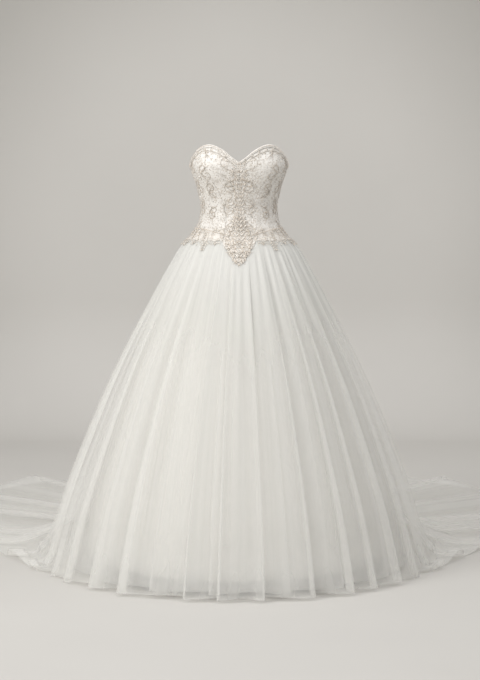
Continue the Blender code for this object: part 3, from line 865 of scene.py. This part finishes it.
def cord_loop(bm):
    """A loop of cord from the strip's edge round the button and back, a ring of vertices drawn along it."""
    bend = BUTTON_RADIUS * 1.12
    route = [(-0.0092, -0.0030), (-0.0055, -0.0050)]
    for turn in np.radians(np.arange(-100, 101, 20)):
        route.append((bend * math.cos(turn) - 0.0012, bend * math.sin(turn)))
    route += [(-0.0055, 0.0050), (-0.0092, 0.0030)]
    ring = bmesh.ops.create_circle(bm, segments=6, radius=LOOP_CORD)["verts"]
    for (across, up), (run_across, run_up) in zip(route, np.gradient(route, axis=0)):
        if (across, up) != route[0]:
            edges = [e for e in bm.edges if e.verts[0] in ring and e.verts[1] in ring]
            drawn = bmesh.ops.extrude_edge_only(bm, edges=edges)["geom"]
            ring = [v for v in drawn if isinstance(v, bmesh.types.BMVert)]
        run = math.atan2(run_up, run_across)
        for corner, vertex in enumerate(ring):
            turn = math.tau * corner / 6
            aside = LOOP_CORD * math.cos(turn)
            rise = LOOP_CORD * (1.2 + math.sin(turn))
            vertex.co = (across - aside * math.sin(run), up + aside * math.cos(run), rise)
    bmesh.ops.recalc_face_normals(bm, faces=bm.faces)


right = np.array([-1.0, 0.0, 0.0])
for number in range(BUTTONS):
    height = back_top - 0.010 + (SEAM_HEIGHT + 0.024 - back_top) * number / (BUTTONS - 1)
    outward = body_normal(180.0, height)
    upward = np.cross(outward, right)
    seat = body_point(180.0, height) + outward * (TRIM_FACE + BUTTON_CLEARANCE / 2)
    bm = bmesh.new()
    covered_button(bm)
    cord_loop(bm)
    for vertex in bm.verts:
        vertex.co = seat + right * vertex.co[0] + upward * vertex.co[1] + outward * vertex.co[2]
    button = smooth_piece(f"button_{number + 1:02d}_with_loop", bm)
    settle(button, satin, "ivory_satin", f"button_{number + 1:02d}")

# Beadwork
# Silver-lined seed beads, champagne pearls, cut crystals, sequins and satin-stitch leaves are sewn on by
# hand in scrolling stems over the lace, close together down centre front and at the hips.

BEAD = 0.0030
LEAF = 0.0100
STEM_STEP = 0.0030  # from bead to bead along a scroll
STEMS = [  # each a run of (angle, height), drawn on both sides of the bodice
    [(5, 1.208), (16, 1.232), (32, 1.250), (50, 1.250), (68, 1.224), (86, 1.198)],
    [(92, 1.192), (118, 1.182), (144, 1.174), (168, 1.170)],
]
SCROLL_COLUMNS = (5, 33, 60, 88, 116, 143)  # angles from which the scrolls spring
SCROLL_RISE = 0.0300  # from one scroll up to the next
CENTRE_WIDTH = np.array([  # height, half_width of the close beading down centre front
    (0.911, 0.0015),
    (0.925, 0.0095),
    (0.950, 0.0190),
    (0.965, 0.0270),
    (0.980, 0.0330),
    (1.000, 0.0310),
    (1.015, 0.0225),
    (1.040, 0.0160),
    (1.070, 0.0120),
    (1.100, 0.0090),
    (1.135, 0.0120),
    (1.165, 0.0200),
    (1.190, 0.0190),
    (1.206, 0.0110),
    (1.213, 0.0040),
])
sewn = {"seed": [], "pearl": [], "crystal": [], "sequin": [], "leaf": []}


def girth(angle, height):
    """Metres round the bodice to one radian, near enough to lay a pattern on it."""
    return np.linalg.norm(body_point(angle, height)[..., :2], axis=-1)


def beading_face(angle, height):
    """How far out the beads' ground lies: on the lace, or on the net of the point and band."""
    away = front_angle(angle)
    in_point = (np.abs(girth(angle, height) * np.sin(np.radians(angle))) < point_reach(height)) & (
        away < 60
    )
    in_point &= (height > POINT_OUTLINE[0, 0]) & (height < POINT_OUTLINE[-1, 0])
    in_band = (height < BAND_TOP) & (height > 0.95)
    in_braid = height > neckline(away) - TRIM_WIDTH
    return np.where(in_point | in_band, NET_FACE, np.where(in_braid, 0.0021, 0.0))


def sew(kind, angle, height, size, lean=0.0):
    """A bead on both sides of the dress, at one place on each, its length leaning up from level."""
    sewn[kind].append((angle, height, size, lean))
    if abs(angle) > 0.3:
        sewn[kind].append((-angle, height, size, math.pi - lean))


def walk(points, spacing):
    """Places at even spacing along a smooth line through (angle, height) points, and its lean there."""
    knots = np.column_stack([np.linspace(0, 1, len(points)), np.array(points, float)])
    fine = np.linspace(0, 1, 300)
    run_angles, run_heights = read_curve(knots, 1, fine), read_curve(knots, 2, fine)
    at = body_point(run_angles, run_heights)
    length = np.concatenate([[0], np.cumsum(np.linalg.norm(np.diff(at, axis=0), axis=1))])
    places = np.arange(spacing / 2, length[-1], spacing)
    sideways = np.radians(np.gradient(run_angles)) * girth(run_angles, run_heights)
    lean = np.unwrap(np.arctan2(np.gradient(run_heights), sideways))
    return list(zip(*[np.interp(places, length, run) for run in (run_angles, run_heights, lean)]))


def beside(angle, height, way, distance):
    """The place a short way off along the surface."""
    return (
        angle + math.degrees(distance * math.cos(way) / girth(angle, height)),
        height + distance * math.sin(way),
    )


for stem in STEMS:
    for number, (angle, height, lean) in enumerate(walk(stem, 0.0031)):
        sew("seed", angle, height, BEAD * 0.9)
        if number % 4 == 2:
            side = 1 if number % 8 == 2 else -1
            way = lean + side * 0.75
            sew("leaf", *beside(angle, height, way, 0.0070), LEAF * 1.05, way)
            sew("crystal" if number % 3 else "pearl", *beside(angle, height, way, 0.0135), BEAD)
        if number % 4 == 0:
            way = lean - 0.9 if number % 8 == 0 else lean + 0.9
            sew("sequin", *beside(angle, height, way, 0.0052), 0.0036)


def scroll(angle, height, heading, length, hand):
    """A stem that starts nearly straight and winds up into a coil, with leaves on its outer side."""
    count = int(length / STEM_STEP)
    for number in range(count):
        way = math.radians(heading) + hand * math.tau * 1.05 * (number / count) ** 1.7
        angle, height = beside(angle, height, way, STEM_STEP)
        if not 0.3 < angle < 170.5 or height > neckline(angle) - TRIM_WIDTH - 0.001:
            return
        sew("pearl" if number % 4 == 0 else "seed", angle, height, BEAD * 0.9)
        if number % 4 == 1 and number < count * 0.75:
            side = -hand if number % 8 == 1 else hand
            sew("leaf", *beside(angle, height, way + side * 0.8, 0.0066), LEAF, way + side * 0.8)
        if number % 5 == 3 and number < count * 0.7:
            sew("sequin", *beside(angle, height, way - hand * 1.5, 0.0042), 0.0034)
    sew("pearl", angle, height, BEAD * 1.3)


for column, angle in enumerate(SCROLL_COLUMNS):
    top = neckline(angle + 10) - 0.030
    for number, height in enumerate(np.arange(1.044 + 0.012 * (column % 2), top, SCROLL_RISE)):
        hand = 1 if (number + column) % 2 else -1
        heading = 26 * hand + (9, -13, 4, -6)[(number * 3 + column) % 4]
        scroll(angle + 2 * ((number + column) % 3), height, heading, 0.080 + 0.008 * (number % 3), hand)

scatter = np.random.default_rng(7)
close_at = np.zeros((1, 2)) + 9.0
for number, (across, rise) in enumerate(scatter.random((9000, 2)) * (0.034, 0.306) + (0.0, 0.911)):
    half = read_curve(CENTRE_WIDTH, 1, rise) * (0.86 + 0.30 * math.sin(number * 1.7))
    apart = 0.0036 if rise < 1.05 else 0.0042
    if across > half or ((close_at - (across, rise)) ** 2).sum(1).min() < apart**2:
        continue
    close_at = np.concatenate([close_at, [(across, rise), (-across, rise)]])
    angle = math.degrees(across / girth(0.0, rise))
    kind = ("seed", "pearl", "pearl", "sequin", "seed", "crystal", "pearl")[number % 7]
    sew(kind, angle, rise, BEAD * (0.95 + 0.14 * (number % 5)))
for number, height in enumerate(np.arange(0.930, 1.204, 0.0125)):
    half = read_curve(CENTRE_WIDTH, 1, height)
    for share in (0.30, 0.85):
        angle = math.degrees(half * share / girth(0.0, height))
        sew("leaf", angle, height, LEAF * 1.35, 0.95)
    sew("crystal", 0.0, height, BEAD * 1.5)

for number, (angle, height, lean) in enumerate(walk([(1.5, 0.922), (7, 0.945), (11, 0.964)], 0.0062)):
    way = lean - (0.5, 1.9, 1.2, 2.4, 0.8)[number % 5]
    reach = (0.000, 0.0025, -0.002, 0.001)[number % 4]
    sew("leaf", *beside(angle, height, way, reach), LEAF * 0.95, way)
    sew("pearl", *beside(angle, height, way, reach + 0.0068), BEAD * 0.9)
    sew("seed", *beside(angle, height, lean + 1.6, 0.003), BEAD)
for angle, height, _ in walk([(15, 1.003), (34, 1.012), (60, 1.020), (120, 1.0215), (172, 1.0215)], 0.0034):
    sew("pearl", angle, height, BEAD * 0.9)
for number in range(13):
    hand = 1 if number % 2 else -1
    scroll(17 + 12.0 * number, 1.006 - 0.004 * hand, 18 * hand, 0.040, hand)
for angle, drop, _ in SPRIGS:
    for number, fall in enumerate(np.arange(0.0, drop + 0.003, 0.0032)):
        sew("seed", angle, BAND_BOTTOM - fall, BEAD)
        if number % 2:
            for side in (-1, 1):
                place = beside(angle, BAND_BOTTOM - fall, math.pi / 2 + side * 2.2, 0.0055)
                if BAND_BOTTOM - place[1] < drop:
                    sew("leaf", *place, LEAF * 0.8, math.pi / 2 + side * 2.2)
    sew("pearl", angle, BAND_BOTTOM - drop, BEAD * 1.4)

for number, angle in enumerate(np.arange(14.0, 171.0, 1.35)):  # leaves and beads that break the band's edge
    fall = (0.0010, 0.0085, 0.0040, -0.0030, 0.0120, 0.0060, -0.0010)[number % 7]
    kind = ("leaf", "pearl", "seed", "leaf", "seed")[number % 5]
    size = LEAF * 0.8 if kind == "leaf" else BEAD
    sew(kind, angle, BAND_BOTTOM + 0.0005 - fall, size, number * 1.9)
for angle in np.arange(0.6, 172.0, 1.7):
    sew("pearl", angle, neckline(angle) - 0.0030, BEAD * 0.85)

taken = np.concatenate([np.array(rows)[:, :2] for rows in sewn.values() if rows])
taken_at = body_point(taken[:, 0], taken[:, 1])
for number, (angle, share) in enumerate(scatter.random((3000, 2)) * (171.0, 1.0)):
    low = float(seam_height(angle) if angle < 17 else band_bottom(angle)) + 0.002
    height = low + (neckline(angle) - TRIM_WIDTH - 0.003 - low) * share
    at = body_point(angle, height)
    apart = 0.0037 if angle < 17 and height < 1.0 else 0.0044
    if ((taken_at - at) ** 2).sum(1).min() < apart**2:
        continue
    kind = ("pearl", "leaf", "sequin", "seed", "crystal", "leaf", "seed")[number % 7]
    size = LEAF * 0.75 if kind == "leaf" else BEAD * (0.7 + 0.12 * (number % 4))
    sew(kind, angle, height, size, number * 2.4)
    taken_at = np.concatenate([taken_at, [at, at * (-1, 1, 1)]])

# how far each bead's middle stands off its ground, in its own lengths
BEAD_LIFT = {"seed": 0.35, "pearl": 0.35, "crystal": 0.25, "sequin": 0.22, "leaf": 0.0}


def bead_shape(kind):
    """One bead a metre long along X, its flat side on the ground at Z = 0, as points and faces."""
    bm = bmesh.new()
    if kind in ("seed", "pearl"):
        bmesh.ops.create_icosphere(bm, subdivisions=1, radius=0.5)
    elif kind == "crystal":
        bmesh.ops.create_cone(bm, cap_ends=True, segments=6, radius1=0.55, radius2=0.25, depth=0.5)
    elif kind == "sequin":
        bmesh.ops.create_cone(bm, cap_ends=True, segments=8, radius1=0.5, radius2=0.38, depth=0.10)
        bmesh.ops.rotate(bm, verts=bm.verts, cent=(0, 0, 0), matrix=mathutils.Matrix.Rotation(0.3, 3, "Y"))
    else:
        bmesh.ops.create_grid(bm, x_segments=6, y_segments=4, size=0.5)
        for vertex in bm.verts:
            along, across, _ = vertex.co
            half = 0.21 * max(math.cos(along * math.pi), 0.0) ** 0.8
            rise = 0.02 + 0.13 * (1 - (2 * across) ** 2) * max(half / 0.21, 0)
            vertex.co = (along, 2 * across * half, rise)
    bmesh.ops.translate(bm, verts=bm.verts, vec=(0, 0, BEAD_LIFT[kind]))
    points = np.array([vertex.co[:] for vertex in bm.verts])
    faces = [[vertex.index for vertex in face.verts] for face in bm.faces]
    bm.free()
    return points, faces


def glass_and_metal(name, colours, metallic, roughness, coat):
    """Beads, with one of a few tones for each so that they glitter unevenly, as strung glass does."""
    made = new_material(name)
    tone = add_node(made, "Attribute", attribute_name="bead_tone")
    ramp = add_node(made, "ValToRGB", {"Fac": tone.outputs["Fac"]})
    for stop, colour in zip(ramp.color_ramp.elements, colours):
        stop.color = hex_colour(colour)
    look = {"Base Color": ramp, "Metallic": metallic, "Roughness": roughness, "Coat Weight": coat}
    return finish_material(made, add_node(made, "BsdfPrincipled", look))


BEAD_FINISHES = {  # name, darkest and lightest tone, metallic, roughness, coat
    "seed": ("silver-lined glass seed beads", ("B8B0A5", "E0DAD1"), 0.22, 0.38, 0.3),
    "pearl": ("champagne glass pearls", ("D0C3B4", "ECE2D7"), 0.0, 0.38, 0.3),
    "crystal": ("cut crystal with foiled backs", ("BAB4AB", "ECEAE7"), 0.25, 0.22, 0.5),
    "sequin": ("matt silver sequins", ("C2BAB0", "E0DAD2"), 0.35, 0.45, 0.0),
    "leaf": ("satin-stitch leaves in silk thread", ("D3CABE", "E8E1D8"), 0.0, 0.45, 0.0),
}
for kind, rows in sewn.items():
    rows = np.array(rows)
    points, faces = bead_shape(kind)
    ground = on_dress(rows[:, 0], rows[:, 1], beading_face(rows[:, 0], rows[:, 1]) + 0.0001)
    outward = body_normal(rows[:, 0], rows[:, 1])
    level = np.cross([0.0, 0.0, 1.0], outward)
    level /= np.linalg.norm(level, axis=1, keepdims=True)
    upward = np.cross(outward, level)
    lean = rows[:, 3][:, None]
    along = level * np.cos(lean) + upward * np.sin(lean)
    aside = np.cross(outward, along)
    ways = (along, aside, outward)
    turned = sum(points[None, :, k : k + 1] * way[:, None] for k, way in enumerate(ways))
    places = ground[:, None] + rows[:, 2][:, None, None] * turned
    starts = np.arange(len(rows))[:, None] * len(points)
    joined = [[start + corner for corner in face] for start in starts[:, 0].tolist() for face in faces]
    mesh = bpy.data.meshes.new(f"{kind}_beadwork")
    mesh.from_pydata(places.reshape(-1, 3).tolist(), [], joined)
    tones = (np.arange(len(rows)) * 0.6180339887 + rows[:, 1] * 37.0) % 1.0
    tone = mesh.attributes.new("bead_tone", "FLOAT", "POINT")
    tone.data.foreach_set("value", np.repeat(tones, len(points)).astype(np.float32))
    if kind in ("seed", "pearl", "leaf"):
        mesh.shade_smooth()
    beads = new_object(mesh.name, mesh)
    mesh.materials.append(glass_and_metal(*BEAD_FINISHES[kind]))
    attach(beads, "root")

# Stage
# A pale canvas runs from the floor up into the wall behind in one wide curve. Soft round lamps light it,
# the strongest from the left, and painted shade darkens the wall towards its top corners, where their
# light falls off. None of it belongs to the dress.

FLOOR_HEIGHT = -WAIST_HEIGHT
WALL_DISTANCE = 3.1
COVE_RADIUS = 0.6
STAGE_REACH = 40.0


def studio_paper():
    """A pale grey canvas backdrop, matt and a little cloudy, with painted shade that darkens its top
    corners.

    Its back doesn't show, so that the dress can be seen from behind as well.
    """
    made = new_material("backdrop with painted corner shade")
    place = add_node(made, "TexCoord")
    here = place.outputs["Object"]
    # painted shade: the wall darkens with distance from a point low in its middle, in place of the lamps'
    # fall-off
    middle = {0: here, 1: (0.0, WALL_DISTANCE, -0.30)}
    from_middle = add_node(made, "VectorMath", middle, operation="SUBTRACT")
    flat = add_node(made, "VectorMath", {0: from_middle, 1: (1.0, 0.0, 1.0)}, operation="MULTIPLY")
    away = add_node(made, "VectorMath", {0: flat}, operation="LENGTH")
    ends = {"Value": away, "From Min": 0.80, "From Max": 2.05}
    corner = add_node(made, "MapRange", ends, interpolation_type="SMOOTHSTEP")
    upward = add_node(made, "SeparateXYZ", {"Vector": here})
    wall_only = add_node(
        made, "MapRange", {"Value": upward.outputs["Z"], "From Min": -1.25, "From Max": -0.6}
    )
    shade = add_node(made, "Math", {0: corner, 1: wall_only}, operation="MULTIPLY")
    grain = add_node(made, "TexNoise", {"Vector": here, "Scale": 1.2, "Detail": 4.0})
    tone = add_node(made, "Mix", {"Factor": grain, "A": "C5C2BD", "B": "CDCAC5"}, data_type="RGBA")
    # painted shade: the tone is mixed towards a darker grey at the wall's top corners
    painted = add_node(made, "Mix", {"Factor": shade, "A": tone, "B": "A29F99"}, data_type="RGBA")
    paint = add_node(made, "BsdfPrincipled", {"Base Color": painted, "Roughness": 0.85})
    clear = add_node(made, "BsdfTransparent")
    seen_from = add_node(made, "NewGeometry")
    sides = {"Fac": seen_from.outputs["Backfacing"], 1: paint, 2: clear}
    return finish_material(made, add_node(made, "MixShader", sides))


bm = bmesh.new()
bend = WALL_DISTANCE - COVE_RADIUS
profile = [(-STAGE_REACH, 0.0), (bend, 0.0)]
for turn in np.radians(np.arange(7.5, 91, 7.5)):
    profile.append((bend + COVE_RADIUS * math.sin(turn), COVE_RADIUS - COVE_RADIUS * math.cos(turn)))
profile.append((WALL_DISTANCE, 6.0))
line = [bm.verts.new((-STAGE_REACH, y, FLOOR_HEIGHT + z)) for y, z in profile]
edges = [bm.edges.new(pair) for pair in zip(line, line[1:])]
edges.append(bm.edges.new((line[1], bm.verts.new((-STAGE_REACH, STAGE_REACH, FLOOR_HEIGHT)))))
swept = bmesh.ops.extrude_edge_only(bm, edges=edges)
moved = [v for v in swept["geom"] if isinstance(v, bmesh.types.BMVert)]
bmesh.ops.translate(bm, verts=moved, vec=(2 * STAGE_REACH, 0.0, 0.0))
bm.normal_update()
hidden = [f for f in bm.faces if f.normal.z - f.normal.y < 0]
bmesh.ops.reverse_faces(bm, faces=hidden)
backdrop = smooth_piece("backdrop", bm)
backdrop.data.materials.append(studio_paper())


def area_light(name, place, aim, size, power, colour):
    """A round soft light that faces the point it is aimed at."""
    data = bpy.data.lights.new(name, "AREA")
    data.shape = "DISK"
    data.size = size
    data.energy = power
    data.color = hex_colour(colour)[:3]
    light = new_object(name, data)
    light.location = place
    way = np.array(aim, float) - np.array(place, float)
    light.rotation_euler = (
        math.atan2(math.hypot(way[0], way[1]), -way[2]), 0.0, math.atan2(way[1], way[0]) - math.pi / 2
    )


area_light("key", (-3.9, -3.4, 2.0), (0.0, 0.0, -0.4), 2.6, 174.0, "FFFFFE")
area_light("fill", (3.4, -2.6, 1.4), (0.0, 0.0, 0.3), 1.6, 21.5, "FFFFFF")
area_light("top", (0.0, -0.8, 4.0), (0.0, 0.2, -1.0), 3.5, 105.0, "FFFFFF")
area_light("backdrop", (2.9, 0.6, 1.0), (1.1, WALL_DISTANCE, 0.3), 1.6, 11.0, "FFFFFF")

world = bpy.data.worlds.new("studio")
bpy.context.scene.world = world
world.use_nodes = True
sky = world.node_tree.nodes["Background"]
sky.inputs["Color"].default_value = hex_colour("EBEBEC")
sky.inputs["Strength"].default_value = 0.53

CAMERA_DISTANCE = 5.5
CAMERA_HEIGHT = 1.175
CAMERA_TILT = 5.13
FOCAL_PIXELS = 1815.0
FRAME_HEIGHT = 680.0
SENSOR = 36.0
camera_data = bpy.data.cameras.new("camera")
camera_data.sensor_width = SENSOR
camera_data.lens = FOCAL_PIXELS * SENSOR / FRAME_HEIGHT
camera = new_object("camera", camera_data)
camera.location = (0.003, -CAMERA_DISTANCE, CAMERA_HEIGHT - WAIST_HEIGHT)
camera.rotation_euler = (math.radians(90 - CAMERA_TILT), 0.0, 0.0)
scene = bpy.context.scene
scene.camera = camera
scene.view_settings.view_transform = "Standard"
scene.cycles.transparent_max_bounces = 48
scene.cycles.max_bounces = 10
scene.cycles.diffuse_bounces = 6
